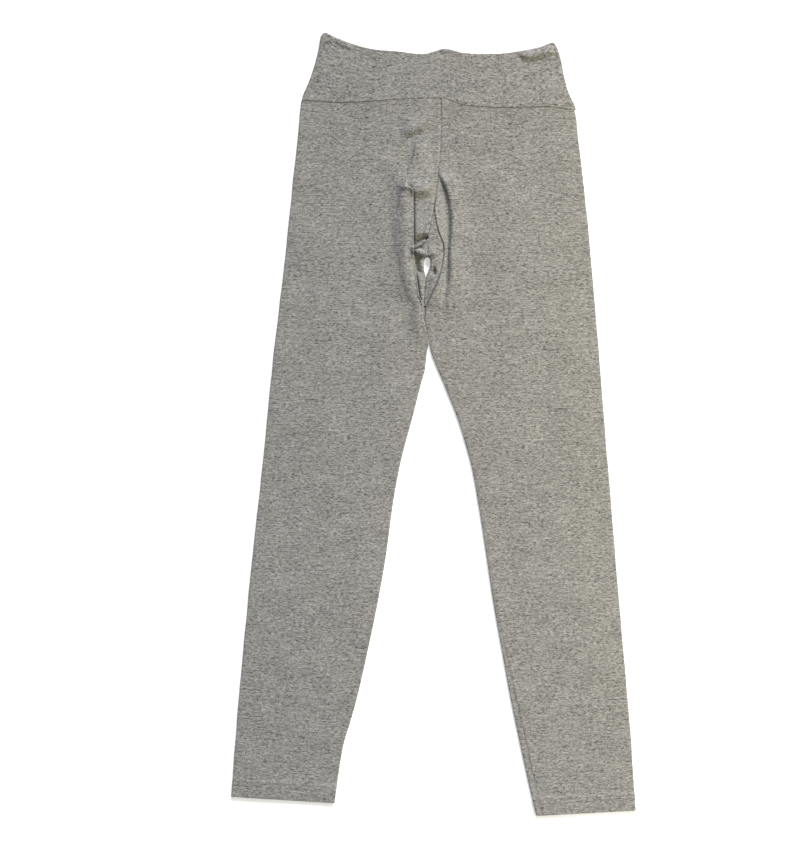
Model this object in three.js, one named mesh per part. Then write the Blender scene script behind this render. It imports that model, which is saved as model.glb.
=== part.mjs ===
// Leggings laid flat on a table, back side up. Heather jersey, deep contoured waistband, one panel for each
// leg with a single inseam, and a diamond gusset. Millimetres: +X to the right, +Y towards the waist, +Z up.
// The origin is on the table, under the middle of the garment's outline.
import * as THREE from "three";

// Cloth
const JERSEY = 1.2; // one layer of the leg panels
const HEM_CLOTH = 1.8; // the same cloth turned up and stitched at the hem
const HEM_STEP = 3; // length over which the hem thickens
const BAND_CLOTH = 1.8; // the waistband is cut double and folded over at its rim
const RIM_CLOTH = 1.3; // the folded rim is rounded off to this
const AIR = 0.6; // between two layers that lie on each other
const BAND_AIR = 1.4; // and inside the waistband
const SEAM = 0.3; // between two pieces where a seam joins them
const BEND_LENGTH = 1.4; // least length of cloth in a bend
const OUTER_INSET = 1.5; // the outer folds' bends start this far in from half the cloth
const LEAST_FOLD = 0.4; // shortest flat stretch between two bends
const LEAST_TUCK = 0.8; // and of the tuck's hidden end

// Garment sizes
const HEM_DEPTH = 22; // turn-up at each ankle
const TUCK_LIFT = 3.6; // the left leg's inner fold stands this much above the layer that it hides
const TUCK_SLOPE = 13; // and beyond what it hides it settles over this much width
const GUSSET_TOP = 278.6; // height on the page of the gusset's back point
const GUSSET_FRONT_TOP = 262; // and of its front point, under the seat
const GUSSET_TIP = 154; // where its two arms end on the inseams
const TUBE_START = 136; // from here down each leg is a closed tube
const TUBE_ROUNDED = 122; // where the left leg's hidden fold has opened out
const TUBE_SETTLED = 94; // and from here down the left leg has no tuck
const FOLD_OPENS = 294; // from here up the left leg's fold opens out into the seat
const FOLD_OPENING = 26; // over this length
const WAIST_MIDDLE = 415; // mean height of the waist seam
const WAIST_FADES = 350; // rows of the legs follow the waist seam's curve down to here
const HEM_SLOPE = { left: -0.063, right: 0.053 }; // each hem runs up or down the page along x
const HEM_HEIGHT = { left: -487.7, right: -504.8 }; // height of each hem
const HEM_MIDDLE = { left: -196, right: 199 }; // at its middle
const FRONT_EDGE = 6; // width of the right leg's flat stretch beside the front seam
const BAND_LEVEL = BAND_CLOTH * 1.5 + BAND_AIR; // middle of the waistband's upper layer
const BAND_RISE = { from: 385, length: 40, share: 0.8 }; // the legs rise towards it over this stretch
const MIDDLE_STEP = 3; // the gusset's middle row stands back from its two points
const FRONT_MIDDLE_STEP = 2;
const GUSSET_TIP_GAP = 0.4; // between the gusset's tips and the inseams

const GREY = { color: 0x94928a, roughness: 0.95, metalness: 0 };

// How many steps each stretch of a section is drawn in
const STEPS = { low: 5, turn: 4, fold: 4, far: 4, inseam: 2 };

// The left leg: its outer fold, its inner fold, and how far in the hidden back of the tuck lies from that fold
const LEFT_LEG = [
  { y: 424, outer: -169.8 },
  { y: 410, outer: -172.6 },
  { y: 367, outer: -177.5 },
  { y: 320, inner: -26.2, tuck: 7.3 },
  { y: 262, inner: -25.9, tuck: 7.6 },
  { y: 227, outer: -192.4, inner: -25.6, tuck: 8.2 },
  { y: 208, inner: -24.2, tuck: 8.4 },
  { y: 196, inner: -22.9, tuck: 8.3 },
  { y: 182, inner: -20.9, tuck: 7.5 },
  { y: 168, inner: -18.8, tuck: 5.6 },
  { y: 154, inner: -16.0, tuck: 3.8 },
  { y: 140, inner: -13.8, tuck: 4.6 },
  { y: 124, inner: -10.5, tuck: 5.0 },
  { y: 106, inner: -6.9, tuck: 5.7 },
  { y: 94, inner: -8.4, tuck: 5.8 },
  { y: 86, outer: -208.7 },
  { y: 70, inner: -11.2 },
  { y: 55, inner: -15.6 },
  { y: 39, inner: -19.8 },
  { y: 8, inner: -27.7 },
  { y: -23, inner: -36.4 },
  { y: -54, outer: -223.0, inner: -44.1 },
  { y: -101, inner: -52.7 },
  { y: -163, inner: -61.1 },
  { y: -226, outer: -241.2, inner: -72.2 },
  { y: -288, inner: -85.2 },
  { y: -351, outer: -252.9, inner: -99.5 },
  { y: -382, inner: -108.2 },
  { y: -413, inner: -117.3 },
  { y: -444, inner: -122.5 },
  { y: -492, outer: -263.6, inner: -129.1, tuck: 5.8 },
];

// The right leg: its outer fold, its inner fold, and how far the inseam shows in from that fold
const RIGHT_LEG = [
  { y: 424, outer: 176.6 },
  { y: 408, outer: 185.0 },
  { y: 367, outer: 189.2 },
  { y: 273, outer: 199.8 },
  { y: 180, outer: 208.4 },
  { y: 154, inner: -13.5, inseam: 4.1 },
  { y: 140, inner: -12.9, inseam: 2.8 },
  { y: 130, inseam: 2.6 },
  { y: 124, inner: -9.3 },
  { y: 106, inner: -5.7 },
  { y: 94, inner: -3.4 },
  { y: 86, outer: 216.2, inner: -0.6 },
  { y: 70, inner: 5.9 },
  { y: 55, inner: 12.4 },
  { y: 39, inner: 18.9 },
  { y: 8, inner: 31.2 },
  { y: -7, outer: 223.3 },
  { y: -23, inner: 41.0 },
  { y: -54, inner: 49.5 },
  { y: -101, outer: 231.1, inner: 58.2 },
  { y: -163, inner: 67.9 },
  { y: -200, inseam: 2.6 },
  { y: -226, outer: 241.5, inner: 77.4 },
  { y: -288, inner: 88.5, inseam: 4.6 },
  { y: -351, outer: 252.1, inner: 100.0 },
  { y: -400, inseam: 8.0 },
  { y: -413, outer: 257.1, inner: 112.8 },
  { y: -475, inner: 126.4 },
  { y: -508, outer: 263.2, inner: 134.2, inseam: 8.4 },
];

// The rise seams: one line down to the gusset's point, then its two sides, on the back and on the front
const RISE = [
  { y: 430, backLeft: 8.4, backRight: 8.4, frontLeft: 3, frontRight: 3 },
  { y: 388, backLeft: 9.4, backRight: 9.4 },
  { y: 354, backLeft: 8.2, backRight: 8.2 },
  { y: 327, backLeft: 5.9, backRight: 5.9 },
  { y: 307, backLeft: 3.6, backRight: 3.6 },
  { y: 290, backLeft: 1.6, backRight: 1.6, frontLeft: 1, frontRight: 1 },
  { y: GUSSET_TOP, backLeft: 0.3, backRight: 0.3, frontLeft: 0.5, frontRight: 0.5 },
  { y: GUSSET_FRONT_TOP, backLeft: -2.7, backRight: 2.6, frontLeft: 0, frontRight: 0 },
  { y: 248, backLeft: -6.5, backRight: 6.2, frontLeft: -5, frontRight: 5 },
  { y: 238, backLeft: -9.2, backRight: 10.2, frontLeft: -9, frontRight: 8 },
  { y: 232, backLeft: -15.5, backRight: 11.9, frontLeft: -11.5, frontRight: 9.2 },
  { y: 226, backLeft: -26.0, backRight: 12.8, frontLeft: -14, frontRight: 9.8 },
  { y: 218, backLeft: -31.0, backRight: 12.3, frontLeft: -16.5, frontRight: 9.9 },
  { y: 208, backLeft: -31.2, backRight: 10.8, frontLeft: -18.5, frontRight: 9.0 },
  { y: 196, backLeft: -29.8, backRight: 8.2, frontLeft: -19.5, frontRight: 6.4 },
  { y: 182, backLeft: -27.0, backRight: 3.7, frontLeft: -19.5, frontRight: 2.6 },
  { y: 168, backLeft: -23.0, backRight: -3.0, frontLeft: -18.6, frontRight: -3.4 },
  { y: GUSSET_TIP, backLeft: -16.9, backRight: -9.4, frontLeft: -17.8, frontRight: -9.4 },
];

// The gusset is folded along this line, which runs up one thigh, over the crotch and down the other
const GUSSET_FOLD = [
  { y: GUSSET_TIP, right: [-12.4, 154.4], left: [-13.7, 154.4], loft: 0 },
  { y: 168, right: [-11.1, 167.6], left: [-12.7, 167.6], loft: 0 },
  { y: 182, right: [-10.0, 181.0], left: [-11.7, 181.0], loft: 0 },
  { y: 196, right: [-8.2, 192.5], left: [-11.6, 192.5], loft: 0.2 },
  { y: 208, right: [-4.9, 201.0], left: [-12.5, 201.0], loft: 0.6 },
  { y: 218, right: [-4.2, 207.5], left: [-12.7, 207.5], loft: 1.2 },
  { y: 226, right: [-4.2, 212.5], left: [-12.4, 212.5], loft: 1.9 },
  { y: 232, right: [-4.8, 215.4], left: [-11.6, 215.4], loft: 2.3 },
  { y: 238, right: [-5.6, 217.2], left: [-10.8, 217.2], loft: 2.5 },
  { y: 248, right: [-6.4, 218.0], left: [-9.9, 218.0], loft: 2.6 },
  { y: 262, right: [-7.2, 218.4], left: [-9.0, 218.4], loft: 2.6 },
];
const GUSSET_MIDDLE = { fold: [-8.1, 218.6], loft: 2.6 };

// The waist seam on the page, and the rim of the waistband from corner to corner
const WAIST_SEAM = [
  { x: -190, y: 419.6 },
  { x: -171, y: 420.3 },
  { x: -115, y: 418.0 },
  { x: -43, y: 422.2 },
  { x: 8, y: 423.2 },
  { x: 45, y: 413.6 },
  { x: 100, y: 411.4 },
  { x: 145, y: 412.4 },
  { x: 185, y: 407.6 },
  { x: 200, y: 406.0 },
];
const RIM = [
  { x: -147.0, y: 500.0 },
  { x: -145.6, y: 504.6 },
  { x: -142.6, y: 507.6 },
  { x: -139.6, y: 507.9 },
  { x: -133.3, y: 504.8 },
  { x: -120.3, y: 498.9 },
  { x: -99.5, y: 491.8 },
  { x: -77.4, y: 486.6 },
  { x: -43.6, y: 483.6 },
  { x: -24.0, y: 480.9 },
  { x: -11.0, y: 480.6 },
  { x: -1.0, y: 483.1 },
  { x: 14.2, y: 487.1 },
  { x: 29.3, y: 484.1 },
  { x: 39.7, y: 481.6 },
  { x: 60.5, y: 480.6 },
  { x: 86.5, y: 481.0 },
  { x: 113.8, y: 484.5 },
  { x: 139.8, y: 489.9 },
  { x: 151.0, y: 494.4 },
  { x: 154.6, y: 495.6 },
  { x: 157.4, y: 493.4 },
];
const FRONT_RIM_DROP = 4; // the front rim lies this much lower, hidden behind the back
const BAND_SIDE = [
  { y: 407, right: 185.2 },
  { y: 414, right: 181.3 },
  { y: 420, left: -171.3, right: 178.2 },
  { y: 429, left: -167.1, right: 174.9 },
  { y: 440, left: -162.7, right: 172.2 },
  { y: 456, left: -157.3, right: 168.5 },
  { y: 471, left: -152.8, right: 165.7 },
  { y: 487, left: -148.9, right: 160.9 },
  { y: 494, left: -147.8, right: 156.9 },
  { y: 501, left: -146.6, right: 153.0 },
];

const BAND_FOOT = [-171, 184.8]; // where the two side seams of the waistband stand on the waist seam
const BAND_DROPS = [0, 0.016, 0.06, 0.13, 0.22, 0.35, 0.52, 0.76, 1]; // rows of the band, rim to seam
const BAND_CORNER = 4; // no column stands nearer than this to a side seam
const BAND_COLUMN_STEP = 2; // nor to another column
const BAND_UPRIGHT = 0.35; // the last bit of each layer stands upright at the side seams
const BAND_END_COLUMNS = [5.5, 8.5, 13, 20, 30, 44, 64];
const BAND_MIDDLE_COLUMNS = [-80, -55, -30, -10, 25, 45, 90];

// Soft folds of the upper layer. A fold runs along its own line, fades at both ends, and has a steep and a
// gentle side. Lines that run down the page give x for y; the others give y for x.
const FOLDS = [
  { name: "puff beside the centre seam", runs: "down", height: 3.0, before: 10, after: 8, fade: [12, 26],
    line: [[380, -20], [360, -17], [340, -13], [315, -10], [292, -9]] },
  { name: "swell outside the left valley", runs: "down", height: 1.0, before: 16, after: 13, fade: [60, 70],
    line: [[330, -66], [246, -70], [219, -66], [182, -59], [151, -55], [60, -62]] },
  { name: "ridge outside the right valley", runs: "down", height: 3.2, before: 5, after: 17, fade: [22, 70],
    line: [[328, 11], [311, 19], [296, 24], [278, 27.5], [264, 29], [246, 28.6], [228, 27], [192, 26],
      [150, 22], [90, 30]] },
  { name: "swell over the right thigh", runs: "down", height: 0.8, before: 24, after: 26, fade: [90, 120],
    line: [[330, 104], [200, 96], [40, 112]] },
  { name: "roll of the rim at the right corner", runs: "across", height: 2.8, before: 3.4, after: 7,
    fade: [16, 9],
    line: [[104, 478], [128, 482], [145, 486], [160, 487]] },
  { name: "roll of the rim at the left corner", runs: "across", height: 1.8, before: 3, after: 6,
    fade: [8, 18],
    line: [[-146, 497], [-132, 497.5], [-112, 490], [-96, 485]] },
];

const mix = (a, b, share) => a + (b - a) * share;
const ease = (share) => {
  const s = Math.min(1, Math.max(0, share));
  return s * s * (3 - 2 * s);
};

// A smooth curve through knots [[at, value], ...] that doesn't overshoot between them
function through(knots) {
  const k = [...knots].sort((a, b) => a[0] - b[0]);
  const slope = k.slice(1).map((p, i) => (p[1] - k[i][1]) / (p[0] - k[i][0]));
  const tangent = k.map((_, i) => {
    if (i === 0) return slope[0];
    if (i === k.length - 1) return slope[i - 1];
    const [before, after] = [slope[i - 1], slope[i]];
    return before * after <= 0 ? 0 : (2 * before * after) / (before + after);
  });
  return (at) => {
    if (at <= k[0][0]) return k[0][1] + tangent[0] * (at - k[0][0]);
    const last = k.length - 1;
    if (at >= k[last][0]) return k[last][1] + tangent[last] * (at - k[last][0]);
    const i = k.findIndex((p) => p[0] > at) - 1;
    const h = k[i + 1][0] - k[i][0];
    const t = (at - k[i][0]) / h;
    const [t2, t3] = [t * t, t * t * t];
    return (
      (2 * t3 - 3 * t2 + 1) * k[i][1] +
      (t3 - 2 * t2 + t) * h * tangent[i] +
      (3 * t2 - 2 * t3) * k[i + 1][1] +
      (t3 - t2) * h * tangent[i + 1]
    );
  };
}
const column = (rows, name, key = "y") =>
  through(rows.filter((row) => row[name] !== undefined).map((row) => [row[key], row[name]]));

const leftOuter = column(LEFT_LEG, "outer");
const leftInner = column(LEFT_LEG, "inner");
const leftTuck = column(LEFT_LEG, "tuck");
const rightOuter = column(RIGHT_LEG, "outer");
const rightInner = column(RIGHT_LEG, "inner");
const rightInseam = column(RIGHT_LEG, "inseam");
const rise = Object.fromEntries(
  ["backLeft", "backRight", "frontLeft", "frontRight"].map((name) => [name, column(RISE, name)]),
);
const waistSeam = column(WAIST_SEAM, "y", "x");
const rimHeight = column(RIM, "y", "x");
const bandSide = { left: column(BAND_SIDE, "left"), right: column(BAND_SIDE, "right") };
const foldLines = FOLDS.map((fold) => ({ ...fold, curve: through(fold.line) }));

// How far the upper layer stands above where it would lie if it were pressed flat
function relief(x, y) {
  let height = 0;
  for (const fold of foldLines) {
    const down = fold.runs === "down";
    const [at, off] = down ? [y, x] : [x, y];
    const [start, end] = [fold.line[0][0], fold.line[fold.line.length - 1][0]];
    const [low, high] = [Math.min(start, end), Math.max(start, end)];
    const [fadeLow, fadeHigh] = down ? [fold.fade[1], fold.fade[0]] : fold.fade;
    const shown = ease((at - low) / fadeLow) * ease((high - at) / fadeHigh);
    if (shown <= 0) continue;
    const distance = off - fold.curve(at);
    const width = distance < 0 ? fold.before : fold.after;
    height += fold.height * shown * Math.exp(-((distance / width) ** 2));
  }
  return height;
}

// Points evenly along a straight run from one x to another, both ends included
const run = (from, to, count) => Array.from({ length: count }, (_, i) => mix(from, to, i / (count - 1)));
const turnShares = Array.from({ length: STEPS.turn }, (_, i) => (i + 1) / (STEPS.turn + 1));

// A bend of cloth on the way to heading +x at [x, z]: it comes out of a straight stretch that it left by turning
// through an angle, from below. A slight bend is a wide one. Points run from the free end to the bend's end.
function hook(x, z, tightest, turn, length, steps) {
  const angle = Math.max(turn, 1e-4);
  const radius = Math.max(tightest, BEND_LENGTH / angle);
  const bend = (turned) => [x - radius * Math.sin(turned), z - radius * (1 - Math.cos(turned))];
  const [startX, startZ] = bend(angle);
  const straight = run(length, 0, steps).map((back) => [
    startX - back * Math.cos(angle),
    startZ - back * Math.sin(angle),
  ]);
  const round = turnShares.map((share) => bend(angle * (1 - share)));
  return [...straight, ...round];
}

// A half turn round [x, z], from below it to above it; side is 1 for a turn that bulges to +x
function halfTurn(x, z, radius, side, count) {
  return Array.from({ length: count }, (_, i) => {
    const angle = -Math.PI / 2 + (Math.PI * (i + 1)) / (count + 1);
    return [x + side * radius * Math.cos(angle), z + radius * Math.sin(angle)];
  });
}

// Middle of the upper layer at [x, y]: it lies on the lower layer, and rises to meet the thicker waistband
function upper(x, y, cloth) {
  const step = BAND_LEVEL - JERSEY * 1.5 - AIR;
  const towardsBand = ease((y - BAND_RISE.from) / BAND_RISE.length) * BAND_RISE.share * step;
  return cloth * 1.5 + AIR + towardsBand + relief(x, y);
}

// Where the stretches of the upper layer are sampled: close together beside the inner folds
const TOP_SPREAD = [0, 0.025, 0.06, 0.1, 0.145, 0.2, 0.28, 0.4, 0.57, 0.78, 1];
const NEAR_SPREAD = [0, 0.03, 0.06, 0.085, 0.11, 0.14, 0.18, 0.24, 0.34, 0.5, 0.75, 1];

// The left leg's section at y, as [x, z] from its back seam over the top, round the outside and back below
function leftSection(y, cloth) {
  const floor = cloth / 2;
  const low = cloth * 1.5 + AIR;
  const outerMiddle = leftOuter(y) + cloth / 2 + OUTER_INSET;
  const radius = (cloth + AIR) / 2;
  const foldX = leftInner(y) - cloth / 2 - radius;
  const tuckX = Math.min(leftInner(y) - leftTuck(y), foldX - LEAST_FOLD);

  // beside the crotch the panel is folded over itself in an S, which opens out towards the seat
  const seatFold = () => {
    const angle = Math.PI * (1 - ease((y - FOLD_OPENS) / FOLD_OPENING)) + 1e-4;
    const bendRadius = Math.max(radius, BEND_LENGTH / angle);
    const straight = (foldX - tuckX) * (angle / Math.PI) ** 3;
    const bend = (turned) => [bendRadius * Math.sin(turned), bendRadius * (1 - Math.cos(turned))];
    const [across, up] = bend(angle);
    const end = [
      tuckX - 2 * across - straight * Math.cos(angle),
      low + 2 * up + straight * Math.sin(angle),
    ];
    const lower = turnShares.map((share) => {
      const [dx, dz] = bend(angle * share);
      return [tuckX - dx, low + dz];
    });
    const upperBend = turnShares.map((share) => {
      const [dx, dz] = bend(angle * (1 - share));
      return [end[0] + dx, end[1] - dz];
    });
    const middle = [(tuckX + end[0]) / 2, (low + end[1]) / 2];
    const panel = run(rise.backLeft(y) - SEAM / 2, tuckX, STEPS.low).map((x) => [x, low]);
    return { points: [...panel, ...lower, middle, ...upperBend], end };
  };
  // below the gusset the hidden back of the fold opens out, then sinks to the underside: a plain tube
  const tubeFold = () => {
    const angle = Math.PI * ease((y - TUBE_ROUNDED) / (GUSSET_TIP - TUBE_ROUNDED));
    const middle = floor + TUCK_LIFT * ease((y - TUBE_SETTLED) / (TUBE_START - TUBE_SETTLED));
    const points = [
      ...hook(tuckX, middle, radius, angle, LEAST_TUCK + (angle / Math.PI) ** 4, STEPS.low),
      [(tuckX + foldX) / 2, middle],
      ...halfTurn(foldX, middle + radius, radius, 1, STEPS.turn),
    ];
    return { points, end: [foldX, middle + 2 * radius] };
  };

  const { points, end } = y < GUSSET_TIP ? tubeFold() : seatFold();
  const lift = end[1] - low;
  const clearX = Math.min(...points.map((p) => p[0])) - cloth;
  const near = [
    ...points,
    ...TOP_SPREAD.map((share) => mix(end[0], outerMiddle, share)).map((x) => [
      x,
      low + lift * (1 - ease((clearX - x) / TUCK_SLOPE)),
    ]),
  ].map(([x, z]) => [x, z + upper(x, y, cloth) - low]);
  const [outerX, outerZ] = near[near.length - 1];
  const outerRadius = (outerZ - floor) / 2;
  const frontX = y < GUSSET_TIP ? near[0][0] - SEAM : rise.frontLeft(y) - SEAM / 2;
  return [
    ...near,
    ...halfTurn(outerX, floor + outerRadius, outerRadius, -1, STEPS.fold).reverse(),
    ...run(outerX, frontX, STEPS.far).map((x) => [x, floor]),
  ];
}

// The right leg's section at y, from its back seam over the top, round the outside and back below
function rightSection(y, cloth) {
  const floor = cloth / 2;
  const outerMiddle = rightOuter(y) - cloth / 2 - OUTER_INSET;
  const tube = y < GUSSET_TIP;
  const innerRadius = (cloth + AIR) / 2;
  const innerMiddle = rightInner(y) + cloth / 2 + innerRadius;
  const seamX = tube ? rightInner(y) + rightInseam(y) + SEAM / 2 : rise.backRight(y) + SEAM / 2;
  const near = NEAR_SPREAD.map((share) => {
    const x = mix(seamX, outerMiddle, share);
    return [x, upper(x, y, cloth)];
  });
  const [outerX, outerZ] = near[near.length - 1];
  const outerRadius = (outerZ - floor) / 2;

  // the inner fold, turned up and over to the inseam on the upper side, or short of that beside the gusset
  const turned = Math.PI * ease((GUSSET_TIP - y) / (GUSSET_TIP - TUBE_START));
  const turnedLength = Math.max(LEAST_FOLD, ((seamX - SEAM - innerMiddle) * turned) / Math.PI);
  const turnedEnd = hook(innerMiddle, floor, innerRadius, turned, turnedLength, STEPS.inseam)
    .map(([x, z]) => [x, 2 * floor - z])
    .reverse();
  const frontX = rise.frontRight(y) + SEAM / 2;
  const flatEnd = run(frontX + FRONT_EDGE, frontX, STEPS.inseam + STEPS.turn).map((x) => [x, floor]);
  const farEnd = tube ? innerMiddle : frontX + FRONT_EDGE + 1;
  return [
    ...near,
    ...halfTurn(outerX, floor + outerRadius, outerRadius, 1, STEPS.fold).reverse(),
    ...run(outerX, farEnd, STEPS.far).map((x) => [x, floor]),
    ...(tube ? turnedEnd : flatEnd),
  ];
}

const RISE_STATIONS = [WAIST_MIDDLE, 398, 381, 363, 346, 330, 319, 312, 305, 299, 290];
const CROTCH_STATIONS = [GUSSET_TOP, ...GUSSET_FOLD.map((row) => row.y).reverse()];
const TUBE_STATIONS = [152.9, 149.5, 145, 140.5, TUBE_START, 130, TUBE_ROUNDED, 114, 106, TUBE_SETTLED];
const LEG_STATIONS = [80, 60, 36, 8, -26, -66, -120, -185, -255, -320, -375, -425];
const LAST_STEP = 8; // the last of these stays this far above the hem

// Every section down one leg, placed on the page: the top one follows the waist seam and the last the hem
function legGrid(side) {
  const section = side === "left" ? leftSection : rightSection;
  const hem = HEM_HEIGHT[side];
  const hemStations = [hem + HEM_DEPTH + HEM_STEP, hem + HEM_DEPTH, hem + HEM_DEPTH / 2, hem];
  const legStations = LEG_STATIONS.filter((y) => y > hemStations[0] + LAST_STEP);
  const stations = [...RISE_STATIONS, ...CROTCH_STATIONS, ...TUBE_STATIONS, ...legStations, ...hemStations];
  const thickness = [];
  const grid = stations.map((y) => {
    const cloth = y <= hem + HEM_DEPTH ? HEM_CLOTH : JERSEY;
    thickness.push(cloth);
    const waistShare = ease((y - WAIST_FADES) / (WAIST_MIDDLE - WAIST_FADES));
    const slope = HEM_SLOPE[side] * ease((TUBE_SETTLED - y) / (TUBE_SETTLED - hem));
    return section(y, cloth).map(([x, z]) => {
      const waist = waistShare * (waistSeam(x) - WAIST_MIDDLE) - (SEAM / 2) * waistShare;
      return new THREE.Vector3(x, y + waist + slope * (x - HEM_MIDDLE[side]), z);
    });
  });
  return { grid, thickness };
}

// A wall of cloth round a grid of points on its middle, with an outer face, an inner face and four edges. Rows
// that follow each other down the page are thickened in their own upright plane, other rows square to the cloth.
const DOWN_PAGE = new THREE.Vector3(0, -1, 0);
function clothWall(grid, thickness, { flip = false, upright = true } = {}) {
  const rows = grid.length;
  const columns = grid[0].length;
  const at = (i, j) => grid[Math.min(rows - 1, Math.max(0, i))][Math.min(columns - 1, Math.max(0, j))];
  const step = (i, j) => at(i, j + 1).clone().sub(at(i, j)).normalize();
  const positions = [];
  const faces = [];
  for (const side of [1, -1]) {
    for (let i = 0; i < rows; i++) {
      for (let j = 0; j < columns; j++) {
        const across = step(i, j).add(step(i, j - 1));
        const along = upright ? DOWN_PAGE : at(i + 1, j).clone().sub(at(i - 1, j));
        const normal = across.cross(along).normalize().multiplyScalar(flip ? -1 : 1);
        const p = at(i, j).clone().addScaledVector(normal, (side * thickness[i]) / 2);
        positions.push(p.x, p.y, p.z);
      }
    }
  }
  const outer = (i, j) => i * columns + j;
  const inner = (i, j) => rows * columns + outer(i, j);
  const quad = (a, b, c, d) => (flip ? faces.push(a, c, b, a, d, c) : faces.push(a, b, c, a, c, d));
  for (let i = 0; i < rows - 1; i++) {
    for (let j = 0; j < columns - 1; j++) {
      quad(outer(i, j), outer(i, j + 1), outer(i + 1, j + 1), outer(i + 1, j));
      quad(inner(i, j), inner(i + 1, j), inner(i + 1, j + 1), inner(i, j + 1));
    }
    const last = columns - 1;
    quad(outer(i, 0), outer(i + 1, 0), inner(i + 1, 0), inner(i, 0));
    quad(outer(i + 1, last), outer(i, last), inner(i, last), inner(i + 1, last));
  }
  for (let j = 0; j < columns - 1; j++) {
    const last = rows - 1;
    quad(outer(0, j + 1), outer(0, j), inner(0, j), inner(0, j + 1));
    quad(outer(last, j), outer(last, j + 1), inner(last, j + 1), inner(last, j));
  }
  const geometry = new THREE.BufferGeometry();
  geometry.setAttribute("position", new THREE.Float32BufferAttribute(positions, 3));
  geometry.setIndex(faces);
  geometry.computeVertexNormals();
  return geometry;
}

// The gusset: each row runs from the back seam to the fold line, turns under and runs to the front seam
function gussetGrid() {
  const halfCloth = JERSEY / 2;
  const nearSteps = 7;
  const row = (back, front, fold, loft) => {
    const backZ = upper(back.x, back.y, JERSEY);
    const lift = loft + AIR + JERSEY;
    const radius = lift / 2;
    const inwards = new THREE.Vector3(back.x - fold.x, back.y - fold.y, 0).normalize();
    const turnCentre = fold.clone().addScaledVector(inwards, halfCloth + radius);
    const near = Array.from({ length: nearSteps }, (_, i) => {
      const share = i / (nearSteps - 1);
      const p = back.clone().lerp(turnCentre, share);
      p.z = mix(backZ, halfCloth + lift, ease(share));
      return p;
    });
    const turn = Array.from({ length: STEPS.fold }, (_, i) => {
      const angle = Math.PI / 2 - (Math.PI * (i + 1)) / (STEPS.fold + 1);
      const p = turnCentre.clone().addScaledVector(inwards, -radius * Math.cos(angle));
      p.z = halfCloth + radius + radius * Math.sin(angle);
      return p;
    });
    const under = [0, 0.5, 1].map((share) => {
      const p = turnCentre.clone().lerp(front, share);
      p.z = halfCloth;
      return p;
    });
    return [...near, ...turn, ...under];
  };
  const flat = (x, y) => new THREE.Vector3(x, y, 0);
  const arm = (side) =>
    GUSSET_FOLD.map(({ y, [side]: fold, loft }, i) => {
      const last = i === GUSSET_FOLD.length - 1;
      const tip = i === 0 ? GUSSET_TIP_GAP : 0;
      const frontY = last ? (y + GUSSET_FOLD[i - 1].y) / 2 : y;
      const inset = side === "left" ? SEAM : -0.7 * SEAM;
      const [back, front] = side === "left" ? ["backLeft", "frontLeft"] : ["backRight", "frontRight"];
      const frontX = last
        ? (rise[front](y) + rise[front](GUSSET_FOLD[i - 1].y)) / 2
        : rise[front](y);
      return row(flat(rise[back](y) + inset, y + tip), flat(frontX + inset, frontY + tip), flat(...fold), loft);
    });
  const top = row(
    flat(rise.backLeft(GUSSET_TOP), GUSSET_TOP - MIDDLE_STEP),
    flat(rise.frontLeft(GUSSET_FRONT_TOP), GUSSET_FRONT_TOP - FRONT_MIDDLE_STEP),
    flat(...GUSSET_MIDDLE.fold),
    GUSSET_MIDDLE.loft,
  );
  return [...arm("right"), top, ...arm("left").reverse()];
}

// One layer of the waistband, from its rim down to the waist seam. Each row turns down or up at its two ends,
// where it meets the other layer in a side seam.
function bandGrid(layer, legEdge, seamColumns) {
  const back = layer === "back";
  const level = back ? BAND_LEVEL : BAND_CLOTH / 2;
  const seamLevel = BAND_CLOTH + BAND_AIR / 2;
  const radius = Math.abs(level - seamLevel) - BAND_UPRIGHT;
  const turnPoints = [
    ...[30, 60, 90].map((degrees) => THREE.MathUtils.degToRad(degrees)).map((angle) => ({
      out: radius * Math.sin(angle),
      up: BAND_UPRIGHT + radius * Math.cos(angle),
    })),
    { out: radius, up: SEAM / 2 },
  ];
  const [bottomLeft, bottomRight] = BAND_FOOT;
  const [rimLeft, rimRight] = [RIM[0].x, RIM[RIM.length - 1].x];
  const edge = (side, drop, foot, rim) => bandSide[side](mix(rimHeight(rim), waistSeam(foot), drop));
  const grid = BAND_DROPS.map((drop) => {
    const leftEdge = mix(edge("left", drop, bottomLeft, rimLeft), bottomLeft, drop ** 8);
    const rightEdge = mix(edge("right", drop, bottomRight, rimRight), bottomRight, drop ** 8);
    const width = rightEdge - leftEdge;
    const spot = (share, z) => {
      const rimX = mix(rimLeft, rimRight, share);
      const hidden = back ? 0 : FRONT_RIM_DROP * Math.min(1, 3 * Math.sin(Math.PI * share));
      const seamY = legEdge(mix(bottomLeft, bottomRight, share)) + SEAM;
      const x = mix(leftEdge, rightEdge, share);
      const y = mix(rimHeight(rimX) - hidden, seamY, drop);
      return new THREE.Vector3(x, y, z ?? level + (back ? relief(x, y) : 0));
    };
    const turn = (place) =>
      turnPoints.map(({ out, up }) => {
        const share = (BAND_CLOTH / 2 + radius - out) / width;
        return spot(place(share), seamLevel + Math.sign(level - seamLevel) * up);
      });
    const flatEnd = (BAND_CLOTH / 2 + radius) / width;
    return [
      ...turn((share) => share).reverse(),
      spot(flatEnd),
      ...seamColumns.map((x) => spot((x - bottomLeft) / (bottomRight - bottomLeft))),
      spot(1 - flatEnd),
      ...turn((share) => 1 - share),
    ];
  });
  return { grid, thickness: BAND_DROPS.map((drop) => (drop === 0 ? RIM_CLOTH : BAND_CLOTH)) };
}

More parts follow.
